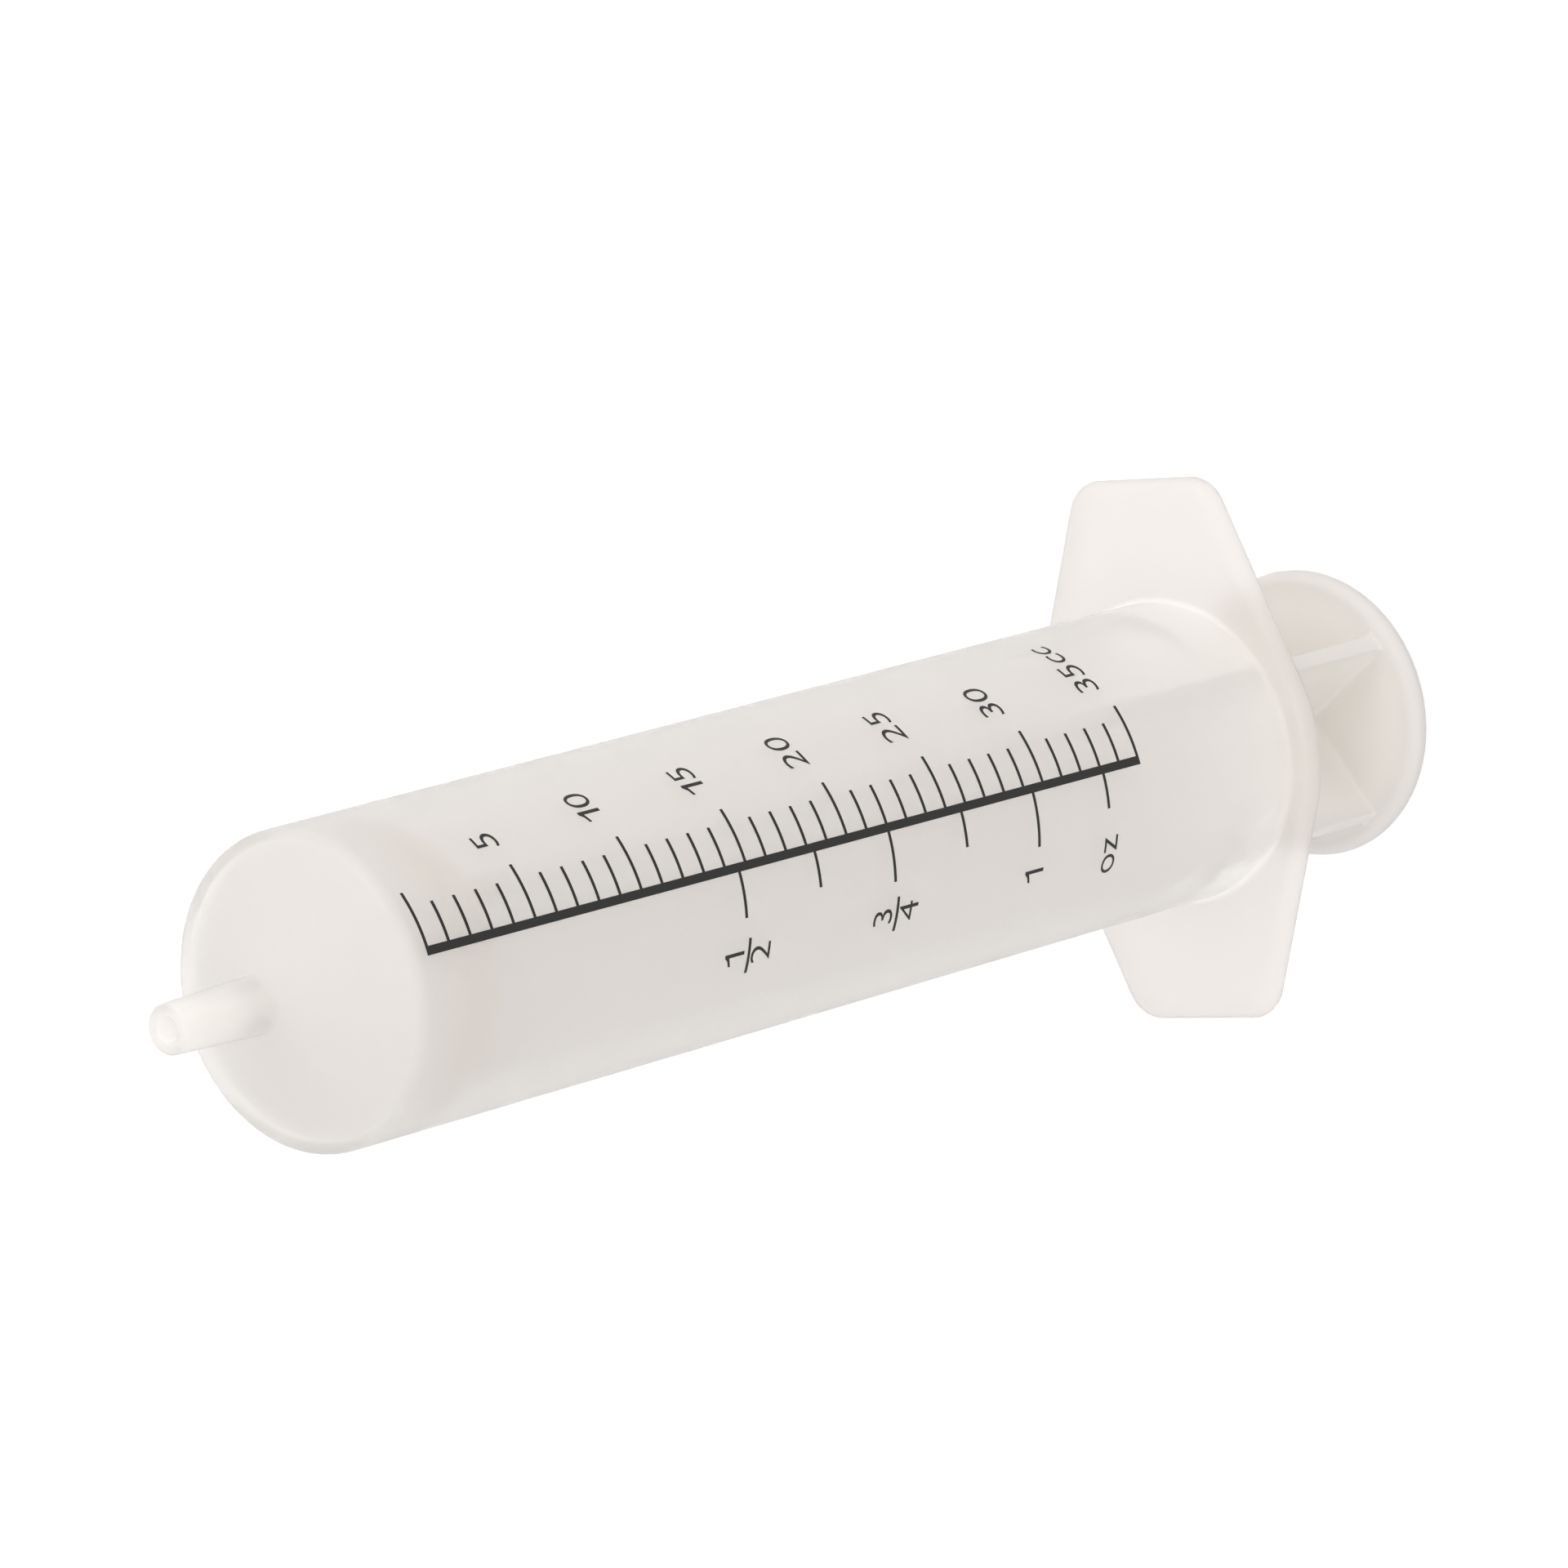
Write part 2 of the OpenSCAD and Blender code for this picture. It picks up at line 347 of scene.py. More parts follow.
def share_at(tree, place, zone):
    """A share that goes softly from 1 at one distance from the zone's centre to 0 at another. The zone's axes
    say which directions count in that distance."""
    centre, axes, full, none = zone
    offset = add(tree, "ShaderNodeVectorMath", (place, centre), operation="SUBTRACT")
    counted = add(tree, "ShaderNodeVectorMath", (offset, axes), operation="MULTIPLY")
    away = add(tree, "ShaderNodeVectorMath", (counted,), operation="LENGTH").outputs["Value"]
    return add(tree, "ShaderNodeMapRange", {
        "Value": away, "From Min": full, "From Max": none, "To Min": 1.0, "To Max": 0.0},
        interpolation_type="SMOOTHSTEP")


def moulded_plastic(name, tints, painted_shade_zones, roughness, clearness, ior):
    """Natural polyolefin, injection moulded and undyed: a milky, satin plastic that lets light and
    soft-edged shapes through. Its crystals make it a little warmer or cooler in patches some 16 mm wide, and
    the polished mould leaves a fine orange peel, drawn at 0.9 mm so that it shows. Each painted shade zone
    gets a darker tint, matched to the real piece: painted shade, not the plastic's own colour. The IOR is
    below the plastic's own, with which the walls come out darker than the real ones, all else alike."""
    material, tree = new_material(name)
    place = add(tree, "ShaderNodeTexCoord").outputs["Object"]
    cloud = add(tree, "ShaderNodeTexNoise", {
        "Vector": place, "Scale": 1 / CLOUD_SIZE, "Detail": 3.0, "Roughness": 0.5})
    peel = add(tree, "ShaderNodeTexNoise", {
        "Vector": place, "Scale": 1 / PEEL_SIZE, "Detail": 2.0, "Roughness": 0.4})
    warm, cool = tints
    shade = add(tree, "ShaderNodeMix", {0: cloud, 6: warm, 7: cool}, data_type="RGBA").outputs[2]
    # Each zone softly mixes in its darker tint, which is painted shade and not a colour of the plastic
    for zone, tint in painted_shade_zones:
        share = share_at(tree, place, zone)
        shade = add(tree, "ShaderNodeMix", {0: share, 6: shade, 7: tint}, data_type="RGBA").outputs[2]
    gloss = add(tree, "ShaderNodeMapRange", {
        "Value": cloud, "From Min": 0.3, "From Max": 0.7,
        "To Min": roughness - 0.02, "To Max": roughness + 0.04})
    bump = add(tree, "ShaderNodeBump", {"Height": peel, "Strength": 0.06, "Distance": PEEL_DEPTH})
    skin = add(tree, "ShaderNodeBsdfPrincipled", {
        "Base Color": shade, "Roughness": gloss, "Normal": bump, "IOR": ior,
        "Transmission Weight": clearness})
    add(tree, "ShaderNodeOutputMaterial", {"Surface": skin})
    return material


def printed_ink(colours):
    """Black ink, pad printed on polypropylene: a satin warm black that lies a little thinner in places,
    with the mesh of the print drawn at 0.25 mm."""
    material, tree = new_material("printed_ink")
    place = add(tree, "ShaderNodeTexCoord").outputs["Object"]
    spread = add(tree, "ShaderNodeTexNoise", {"Vector": place, "Scale": 1 / INK_MESH_SIZE, "Detail": 2.0})
    thick, thin = colours.ink, colours.ink_thin
    shade = add(tree, "ShaderNodeMix", {0: spread, 6: thick, 7: thin}, data_type="RGBA").outputs[2]
    gloss = add(tree, "ShaderNodeMapRange", {"Value": spread, "To Min": 0.4, "To Max": 0.6})
    skin = add(tree, "ShaderNodeBsdfPrincipled", {"Base Color": shade, "Roughness": gloss, "IOR": 1.4})
    add(tree, "ShaderNodeOutputMaterial", {"Surface": skin})
    return material


def flange_outline(sizes):
    """Points on the inner line of the flange's round edge, each with its outward direction. The line goes
    once round: half a wing end, a corner, a tangent to the round middle, the middle, and back by symmetry."""
    edge_r = (FLANGE_FRONT_Z - MOUTH_Z) / 2
    corner_x = WING_END_X - sizes.wing_corner_r
    corner_y = sizes.wing_end_w / 2 - sizes.wing_corner_r
    corner_r = sizes.wing_corner_r - edge_r
    middle_r = RING_R - edge_r
    # The side of a wing touches the corner's circle and the middle's circle in this direction
    far = math.hypot(corner_x, corner_y)
    side = math.degrees(math.atan2(corner_y, corner_x) + math.acos((middle_r - corner_r) / far))
    parts = 6
    quarter = [(WING_END_X - edge_r, corner_y * k / parts, 0.0) for k in range(parts)]
    for x, y in arc((corner_x, corner_y), corner_r, 0, side, steps=12):
        quarter.append((x, y, math.degrees(math.atan2(y - corner_y, x - corner_x))))
    start = quarter[-1]
    end = (middle_r * math.cos(math.radians(side)), middle_r * math.sin(math.radians(side)))
    for x, y in between(start[:2], end, parts=16):
        quarter.append((x, y, side))
    for x, y in arc((0, 0), middle_r, side, 90, steps=14):
        quarter.append((x, y, math.degrees(math.atan2(y, x))))
    half = quarter + [(-x, y, 180 - turn) for x, y, turn in reversed(quarter[1:-1])]
    half.append((-quarter[0][0], 0.0, 180.0))
    whole = half + [(x, -y, -turn) for x, y, turn in reversed(half[1:-1])]
    return [(x, y, math.cos(math.radians(t)), math.sin(math.radians(t))) for x, y, t in whole]


def nose_line(sizes):
    """Radius and height of the tip's foot, and the slope of the nose in degrees."""
    foot_z = TUBE_END_Z + sizes.nose_h
    foot_r = TIP_END_R + (TIP_END_Z - foot_z) * sizes.tip_taper / 2
    across = TUBE_R - sizes.shoulder_r - foot_r
    slope = math.atan2(sizes.nose_h, across) - math.asin(sizes.shoulder_r / math.hypot(across, sizes.nose_h))
    return foot_r, foot_z, math.degrees(slope)


class MESH_OT_syringe_barrel(bpy.types.Operator):
    """Barrel: one turned and moulded skin from the finger flange to the slip tip and back through the bore"""

    bl_idname = "mesh.syringe_barrel"
    bl_label = "Barrel"

    def execute(self, context):
        sizes = context.scene.syringe_barrel
        colours = context.scene.syringe_colours
        outline = flange_outline(sizes)
        turns = [math.atan2(y, x) for x, y, _, _ in outline]

        def turned(r, z):
            """A round ring whose points lie on the same rays as the flange's outline."""
            return [(r * math.cos(a), r * math.sin(a), z) for a in turns]

        def flange(out, z):
            """A ring that follows the flange's outline at a distance from it."""
            return [(x + nx * out, y + ny * out, z) for x, y, nx, ny in outline]

        edge = sizes.broken_edge_r
        bore_r = TUBE_R - sizes.wall
        mouth_r = bore_r + sizes.lead_in_w
        edge_r = (FLANGE_FRONT_Z - MOUTH_Z) / 2
        edge_z = MOUTH_Z + edge_r
        fillet_x = TUBE_R + FLANGE_FILLET_R
        fillet_z = FLANGE_FRONT_Z + FLANGE_FILLET_R

        # The lead-in cone meets the mouth's broken edge in this direction, in degrees
        cone_turn = 200
        brink = arc((mouth_r + edge, MOUTH_Z + edge), edge, cone_turn, 270, steps=3)
        fillet = arc((fillet_x, fillet_z), FLANGE_FILLET_R, 270, 180, steps=6)
        tube = between((TUBE_R, fillet_z), (TUBE_R, TUBE_END_Z), parts=30)

        rings = [turned(*point) for point in brink]
        rings.append(flange(-edge, MOUTH_Z))
        rings += [flange(*point) for point in arc((0, edge_z), edge_r, -90, 90, steps=12)]
        rings.append(flange(-edge, FLANGE_FRONT_Z))
        back = self.nose_and_tip(sizes) + self.inside(sizes, bore_r, mouth_r)
        rings += [turned(*point) for point in fillet + tube + back]
        # Painted shade: from the tube's fillet outwards, the wings get a darker tint
        wings = ((0, 0, 0), (1, 1, 0), fillet_x, TUBE_R)
        plastic = moulded_plastic(
            "moulded_polypropylene", (colours.barrel_warm, colours.barrel_cool),
            [(wings, colours.barrel_deep)], roughness=0.42, clearness=0.65, ior=1.12)
        mesh = loft("barrel_shell", rings, looped=True)
        barrel = new_piece("barrel_shell", mesh, plastic, "barrel_body")
        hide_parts("barrel")
        return {"FINISHED"}

    def nose_and_tip(self, sizes):
        """Outside of the shoulder, nose and tip, round to the edge of the channel."""
        foot_r, foot_z, slope = nose_line(sizes)
        taper = math.degrees(math.atan(sizes.tip_taper / 2))
        shoulder = arc((TUBE_R - sizes.shoulder_r, TUBE_END_Z), sizes.shoulder_r, 0, 90 - slope, steps=10)
        fillet_r = sizes.tip_foot_fillet_r
        reach = fillet_r * math.tan(math.radians(90 - slope - taper) / 2)
        up = (math.cos(math.radians(slope)), math.sin(math.radians(slope)))
        start = (foot_r + reach * up[0], foot_z - reach * up[1])
        centre = (start[0] + fillet_r * up[1], start[1] + fillet_r * up[0])
        fillet = arc(centre, fillet_r, 270 - slope, 180 + taper, steps=7)
        edge_r = sizes.tip_edge_r
        edge_x = TIP_END_R - edge_r * (1 - math.sin(math.radians(taper))) / math.cos(math.radians(taper))
        edge = arc((edge_x, TIP_END_Z - edge_r), edge_r, taper, 90, steps=6)
        brink_r = sizes.broken_edge_r
        brink = arc((CHANNEL_R + brink_r, TIP_END_Z - brink_r), brink_r, 90, 180, steps=4)
        return (shoulder + between(shoulder[-1], fillet[0], parts=8) + fillet
                + between(fillet[-1], edge[0], parts=8) + edge + brink)

    def inside(self, sizes, bore_r, mouth_r):
        """Channel, inside of the nose, bore, retaining bead and lead-in cone, down to the mouth."""
        foot_r, foot_z, slope = nose_line(sizes)
        lean = math.radians(slope)
        roof_z = foot_z + (foot_r - CHANNEL_R) * math.tan(lean) - sizes.wall / math.cos(lean)
        shoulder_r = sizes.shoulder_r - sizes.wall
        shoulder = arc((TUBE_R - sizes.shoulder_r, TUBE_END_Z), shoulder_r, 90 - slope, 0, steps=6)
        bead_z = MOUTH_Z + sizes.bead_inset
        bead = [(bore_r, bead_z), (bore_r - sizes.bead_h, bead_z - sizes.bead_w / 2)]
        bead.append((bore_r, bead_z - sizes.bead_w))
        top, end = (CHANNEL_R, TIP_END_Z - sizes.broken_edge_r), (CHANNEL_R, roof_z)
        cone, mouth = (bore_r, MOUTH_Z + sizes.lead_in_h), (mouth_r, MOUTH_Z)
        return (between(top, end, parts=12) + [end] + between(end, shoulder[0], parts=8) + shoulder
                + between(shoulder[-1], bead[0], parts=30) + bead
                + between(bead[-1], cone, parts=4) + [cone] + between(cone, mouth, parts=4))


def cross_outline(half_t, reach, fillet_r, edge_r):
    """Outline of two crossed webs with rounded edges and filleted inner corners, counterclockwise."""
    inner = half_t + fillet_r
    side_start, side_end = (reach - edge_r, half_t), (inner, half_t)
    eighth = [(reach, 0.0)] + arc((reach - edge_r, half_t - edge_r), edge_r, 0, 90, steps=4)
    eighth += between(side_start, side_end, parts=9)
    corner = arc((inner, inner), fillet_r, 270, 180, steps=6)
    quarter = eighth + corner + [(y, x) for x, y in reversed(eighth[1:])]
    outline = []
    for turn in range(4):
        c, s = (1, 0, -1, 0)[turn], (0, 1, 0, -1)[turn]
        outline += [(c * x - s * y, s * x + c * y) for x, y in quarter]
    return outline


class MESH_OT_syringe_plunger(bpy.types.Operator):
    """Plunger: thumb disc and cross-ribbed rod in one skin, joined to the thin-walled sealing head"""

    bl_idname = "mesh.syringe_plunger"
    bl_label = "Plunger"

    def execute(self, context):
        sizes = context.scene.syringe_plunger
        barrel = context.scene.syringe_barrel
        colours = context.scene.syringe_colours
        bore_r = TUBE_R - barrel.wall
        reach = bore_r - sizes.rib_gap
        seal_z = TUBE_END_Z - sizes.zero_inset
        rear_z = seal_z - sizes.head_len
        lip_r = bore_r - sizes.seal_gap
        groove_r = lip_r - sizes.groove_depth
        inner_r = groove_r - sizes.head_wall
        foot_r, foot_z, slope = nose_line(barrel)
        lean = math.radians(slope)

        def face_z(r, depth):
            """Height of a line that runs inside the nose at a depth under the barrel's skin."""
            return foot_z + (foot_r - r) * math.tan(lean) - depth / math.cos(lean)

        depth = barrel.wall + sizes.face_gap
        rod = self.rod_rings(sizes, reach, inner_r, rear_z, face_z, depth)
        head = self.head_rings(sizes, lip_r, groove_r, inner_r, seal_z, rear_z, face_z, depth)
        joined = self.join(loft("rod", rod, looped=False), loft("head", head, looped=False))
        joined.transform(Matrix.Rotation(sizes.turn, 4, "Z"))
        # Painted shade: this zone darkens the thumb disc's rim
        rim = ((0, 0, 0), (1, 1, 0), PLUNGER_HIGH[0], reach - sizes.disc_t)
        # Painted shade: this zone tints the head's skirt darker tan, for shade seen through the barrel's wall
        skirt = ((0, 0, rear_z + sizes.head_wall), (0, 0, 1), sizes.lip_w, 3 * sizes.lip_w)
        plastic = moulded_plastic(
            "moulded_polyethylene", (colours.plunger_warm, colours.plunger_cool),
            [(rim, colours.plunger_rim), (skirt, colours.plunger_deep)],
            roughness=0.4, clearness=0.3, ior=1.25)
        plunger = new_piece("plunger_shell", joined, plastic, "plunger_body")
        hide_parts("plunger")
        return {"FINISHED"}

    def rod_rings(self, sizes, reach, inner_r, rear_z, face_z, depth):
        """Rings from under the thumb disc, round its full edge, up the fillet and the ribs into the head."""
        half_t = sizes.rib_t / 2
        disc_r = min(PLUNGER_HIGH[0], PLUNGER_HIGH[1])
        edge_r = sizes.disc_t / 2
        count = len(cross_outline(half_t, reach, sizes.inner_fillet_r, sizes.rib_edge_r))
        turns = [2 * math.pi * i / count for i in range(count)]

        def turned(r, z):
            """A round ring with as many points as the cross."""
            return [(r * math.cos(a), r * math.sin(a), z) for a in turns]

        def cross(grown, z, far=reach):
            """The rod's outline at a height, grown sideways, and a little less at the ribs' ends."""
            end_share = 0.3
            outline = cross_outline(
                half_t + grown, far + grown * end_share, sizes.inner_fillet_r - grown, sizes.rib_edge_r)
            return [(x, y, z) for x, y in outline]

        fillet_r = sizes.base_fillet_r
        low, high = sizes.disc_t + fillet_r, rear_z - sizes.head_wall
        edge = arc((disc_r - edge_r, edge_r), edge_r, -90, 90, steps=12)
        fillet = arc((fillet_r, low), fillet_r, 270, 180, steps=5)
        under_shares = (0.3, 0.65, 0.97)
        rings = [turned((disc_r - edge_r) * share, 0.0) for share in under_shares]
        rings += [turned(*point) for point in edge]
        rings += [cross(*point) for point in fillet]
        rings += [cross(*point) for point in between((0.0, low), (0.0, high), parts=24) + [(0.0, high)]]
        wall_r = inner_r + sizes.head_wall / 2
        rings.append(cross(0.0, rear_z + sizes.head_wall / 2, wall_r))
        top = face_z(wall_r, depth + sizes.head_wall / 2)
        rings.append(cross(0.0, top, wall_r))
        return rings

    def head_rings(self, sizes, lip_r, groove_r, inner_r, seal_z, rear_z, face_z, depth):
        """Rings from the middle of the head's inner face, down its skirt and up again over both lips."""
        land = sizes.lip_w / 4
        inside = depth + sizes.head_wall
        low_lip = rear_z + sizes.head_wall
        high_lip = seal_z - sizes.lip_w
        sides = 160
        outline = [(r, face_z(r, inside)) for r in (inner_r * 0.1, inner_r * 0.5, inner_r)]
        outline += [(inner_r, rear_z), (groove_r, rear_z), (groove_r, low_lip), (lip_r, low_lip + land)]
        outline += [(lip_r, low_lip + sizes.lip_w - land), (groove_r, low_lip + sizes.lip_w)]
        outline += [(groove_r, high_lip), (lip_r, high_lip + land), (lip_r, seal_z)]
        outline += [(r, face_z(r, depth)) for r in (groove_r, groove_r / 2, CHANNEL_R)]
        turns = [2 * math.pi * i / sides for i in range(sides)]
        return [[(r * math.cos(a), r * math.sin(a), z) for a in turns] for r, z in outline]

    def join(self, rod, head):
        """One closed mesh of rod and head, without slivers and with its sharp edges kept sharp."""
        crease = math.radians(35)
        base = bpy.data.objects.new("rod", rod)
        other = bpy.data.objects.new("head", head)
        for thing in (base, other):
            bpy.context.collection.objects.link(thing)
        union = base.modifiers.new("union", "BOOLEAN")
        union.operation = "UNION"
        union.solver = "EXACT"
        union.object = other
        evaluated = base.evaluated_get(bpy.context.evaluated_depsgraph_get())
        joined = bpy.data.meshes.new_from_object(evaluated)
        for thing in (base, other):
            bpy.data.objects.remove(thing)
        bm = bmesh.new()
        bm.from_mesh(joined)
        bmesh.ops.remove_doubles(bm, verts=bm.verts, dist=CUT_WELD)
        bmesh.ops.dissolve_degenerate(bm, edges=bm.edges, dist=CUT_WELD)
        bm.to_mesh(joined)
        bm.free()
        joined.name = "plunger_shell"
        joined.shade_smooth()
        joined.set_sharp_from_angle(angle=crease)
        return joined


def wrap(x, lift, z, sizes):
    """The point on the tube for a point of the flat print: x right of the bar, lift over the ink's underside,
    height z."""
    middle = TUBE_END_Z - sizes.zero_inset - sizes.marks * pitch() / 2
    turn = sizes.bar_azimuth + x / TUBE_R + math.tan(sizes.skew) * (z - middle) / TUBE_R
    r = TUBE_R + sizes.lift + lift
    return (r * math.cos(turn), r * math.sin(turn), z)


def pitch():
    """Height of one cc in the bore."""
    bore_r = TUBE_R - bpy.context.scene.syringe_barrel.wall
    return CUBIC_CM / (math.pi * bore_r ** 2)


def scale_tree(ink):
    """Geometry nodes of the bar and its marks: laid out flat, then wrapped round the tube."""
    tree = bpy.data.node_groups.new("scale_lines", "GeometryNodeTree")
    sockets = {}
    kinds = {
        "NodeSocketFloat": (
            "Tube Radius", "Ink Base", "Ink Thickness", "Zero Height", "Bar Azimuth", "Skew", "Bar Width",
            "Line Width", "Pitch", "Long Mark", "Short Mark", "Ounce Start", "Ounce Pitch", "Ounce Long",
            "Ounce Growth", "Ounce Short"),
        "NodeSocketInt": ("Marks", "Long Every", "Ounce Marks"),
    }
    for kind, names in kinds.items():
        for name in names:
            socket = tree.interface.new_socket(name=name, in_out="INPUT", socket_type=kind)
            sockets[name] = socket.identifier
    tree.interface.new_socket(name="Geometry", in_out="OUTPUT", socket_type="NodeSocketGeometry")
    given = add(tree, "NodeGroupInput").outputs

    def row(count, start, step, side, mark_length):
        """A column of marks beside the bar: side is 1 for the right and -1 for the left."""
        down = add(tree, "ShaderNodeMath", (step, -1.0), operation="MULTIPLY")
        first = add(tree, "ShaderNodeCombineXYZ", {"Z": start})
        offset = add(tree, "ShaderNodeCombineXYZ", {"Z": down})
        points = add(tree, "GeometryNodeMeshLine", {
            "Count": count, "Start Location": first, "Offset": offset})
        unit_size = add(tree, "ShaderNodeCombineXYZ", (1.0, given["Ink Thickness"], given["Line Width"]))
        unit = add(tree, "GeometryNodeMeshCube", {"Size": unit_size, "Vertices X": 14})
        bar_half = add(tree, "ShaderNodeMath", (given["Bar Width"], 0.5), operation="MULTIPLY")
        reach = add(tree, "ShaderNodeMath", (mark_length, bar_half), operation="SUBTRACT")
        middle = add(tree, "ShaderNodeMath", (reach, 0.5, bar_half), operation="MULTIPLY_ADD")
        aside = add(tree, "ShaderNodeMath", (middle, side), operation="MULTIPLY")
        beside_bar = add(tree, "ShaderNodeCombineXYZ", {"X": aside})
        placed = add(tree, "GeometryNodeSetPosition", {"Geometry": points, "Offset": beside_bar})
        long = add(tree, "ShaderNodeCombineXYZ", (reach, 1.0, 1.0))
        return add(tree, "GeometryNodeInstanceOnPoints", {"Points": placed, "Instance": unit, "Scale": long})

    # Every fifth cc mark is long, and every second ounce mark is long and longer than the one before
    index = add(tree, "GeometryNodeInputIndex")
    beat = add(tree, "ShaderNodeMath", (index, given["Long Every"]), operation="MODULO")
    is_long = add(tree, "ShaderNodeMath", (beat, 0.0), operation="COMPARE")
    extra = add(tree, "ShaderNodeMath", (given["Long Mark"], given["Short Mark"]), operation="SUBTRACT")
    cc_length = add(tree, "ShaderNodeMath", (is_long, extra, given["Short Mark"]), operation="MULTIPLY_ADD")
    cc_count = add(tree, "ShaderNodeMath", (given["Marks"], 1.0), operation="ADD")
    cc_marks = row(cc_count, given["Zero Height"], given["Pitch"], 1.0, cc_length)
    beat = add(tree, "ShaderNodeMath", (index, 2.0), operation="MODULO")
    is_even = add(tree, "ShaderNodeMath", (beat, 0.0), operation="COMPARE")
    grown = add(
        tree, "ShaderNodeMath", (index, given["Ounce Growth"], given["Ounce Long"]), operation="MULTIPLY_ADD")
    extra = add(tree, "ShaderNodeMath", (grown, given["Ounce Short"]), operation="SUBTRACT")
    ounce_length = add(
        tree, "ShaderNodeMath", (is_even, extra, given["Ounce Short"]), operation="MULTIPLY_ADD")
    ounce_start = add(
        tree, "ShaderNodeMath", (given["Zero Height"], given["Ounce Start"]), operation="SUBTRACT")
    ounce_marks = row(given["Ounce Marks"], ounce_start, given["Ounce Pitch"], -1.0, ounce_length)

    # The bar runs over the whole scale
    span = add(tree, "ShaderNodeMath", (given["Marks"], given["Pitch"]), operation="MULTIPLY")
    bar_length = add(tree, "ShaderNodeMath", (span, given["Line Width"]), operation="ADD")
    bar_size = add(tree, "ShaderNodeCombineXYZ", (given["Bar Width"], given["Ink Thickness"], bar_length))
    bar = add(tree, "GeometryNodeMeshCube", {"Size": bar_size, "Vertices X": 3, "Vertices Z": 60})
    bar_z = add(tree, "ShaderNodeMath", (span, -0.5, given["Zero Height"]), operation="MULTIPLY_ADD")
    bar_middle = add(tree, "ShaderNodeCombineXYZ", {"Z": bar_z})
    bar_placed = add(tree, "GeometryNodeTransform", {"Geometry": bar, "Translation": bar_middle})
    joined = add(tree, "GeometryNodeJoinGeometry")
    for part in (cc_marks, ounce_marks, bar_placed):
        tree.links.new(part.outputs[0], joined.inputs[0])
    flat = add(tree, "GeometryNodeRealizeInstances", {"Geometry": joined})

    # The flat print leans by the skew, and its x turns into an angle round the tube
    place = add(tree, "ShaderNodeSeparateXYZ", (add(tree, "GeometryNodeInputPosition"),)).outputs
    over_middle = add(tree, "ShaderNodeMath", (place["Z"], bar_z), operation="SUBTRACT")
    slope = add(tree, "ShaderNodeMath", (given["Skew"],), operation="TANGENT")
    across = add(tree, "ShaderNodeMath", (slope, over_middle, place["X"]), operation="MULTIPLY_ADD")
    round_tube = add(tree, "ShaderNodeMath", (across, given["Tube Radius"]), operation="DIVIDE")
    turn = add(tree, "ShaderNodeMath", (given["Bar Azimuth"], round_tube), operation="ADD")
    height = add(tree, "ShaderNodeMath", (given["Ink Thickness"], 0.5, place["Y"]), operation="MULTIPLY_ADD")
    base = add(tree, "ShaderNodeMath", (given["Tube Radius"], given["Ink Base"]), operation="ADD")
    radius = add(tree, "ShaderNodeMath", (base, height), operation="ADD")
    shares = [add(tree, "ShaderNodeMath", (turn,), operation=ratio) for ratio in ("COSINE", "SINE")]
    x, y = (add(tree, "ShaderNodeMath", (radius, share), operation="MULTIPLY") for share in shares)
    wrapped = add(tree, "ShaderNodeCombineXYZ", (x, y, place["Z"]))
    bent = add(tree, "GeometryNodeSetPosition", {"Geometry": flat, "Position": wrapped})
    outward = add(tree, "GeometryNodeFlipFaces", {"Mesh": bent})
    finished = add(tree, "GeometryNodeSetMaterial", {"Geometry": outward, "Material": ink})
    add(tree, "NodeGroupOutput", {"Geometry": finished})
    return tree, sockets


class MESH_OT_syringe_scale_lines(bpy.types.Operator):
    """Bar and marks of the printed scale"""

    bl_idname = "mesh.syringe_scale_lines"
    bl_label = "Scale lines"

    def execute(self, context):
        sizes = context.scene.syringe_scale
        ink = printed_ink(context.scene.syringe_colours)
        tree, sockets = scale_tree(ink)
        holder = bpy.data.objects.new("holder", bpy.data.meshes.new("holder"))
        context.collection.objects.link(holder)
        marks = holder.modifiers.new("marks", "NODES")
        marks.node_group = tree
        cc = pitch()
        for name, value in {
                "Tube Radius": TUBE_R, "Ink Base": sizes.lift, "Ink Thickness": sizes.ink_t,
                "Zero Height": TUBE_END_Z - sizes.zero_inset, "Bar Azimuth": sizes.bar_azimuth,
                "Skew": sizes.skew, "Bar Width": sizes.bar_w, "Line Width": sizes.line_w, "Pitch": cc,
                "Marks": sizes.marks, "Long Every": sizes.long_every, "Long Mark": sizes.long_mark,
                "Short Mark": sizes.short_mark, "Ounce Marks": sizes.ounce_marks,
                "Ounce Start": (sizes.ounce_cc / 2 - sizes.ounce_shift_cc) * cc,
                "Ounce Pitch": sizes.ounce_cc / 8 * cc, "Ounce Long": sizes.ounce_long,
                "Ounce Growth": sizes.ounce_growth, "Ounce Short": sizes.ounce_short}.items():
            marks[sockets[name]] = value
        holder.update_tag()
        evaluated = holder.evaluated_get(context.evaluated_depsgraph_get())
        mesh = bpy.data.meshes.new_from_object(evaluated)
        mesh.name = "scale_lines"
        bpy.data.objects.remove(holder)
        new_piece("scale_lines", mesh, ink, "barrel_body")
        return {"FINISHED"}


def prism(outline):
    """A closed prism from y -0.5 to 0.5 over an outline in x and z."""
    shape = bmesh.new()
    near, far = ([shape.verts.new((x, y, z)) for x, z in outline] for y in (-0.5, 0.5))
    shape.faces.new(near)
    shape.faces.new(list(reversed(far)))
    for i in range(len(outline)):
        j = (i + 1) % len(outline)
        shape.faces.new((near[j], near[i], far[i], far[j]))
    return shape


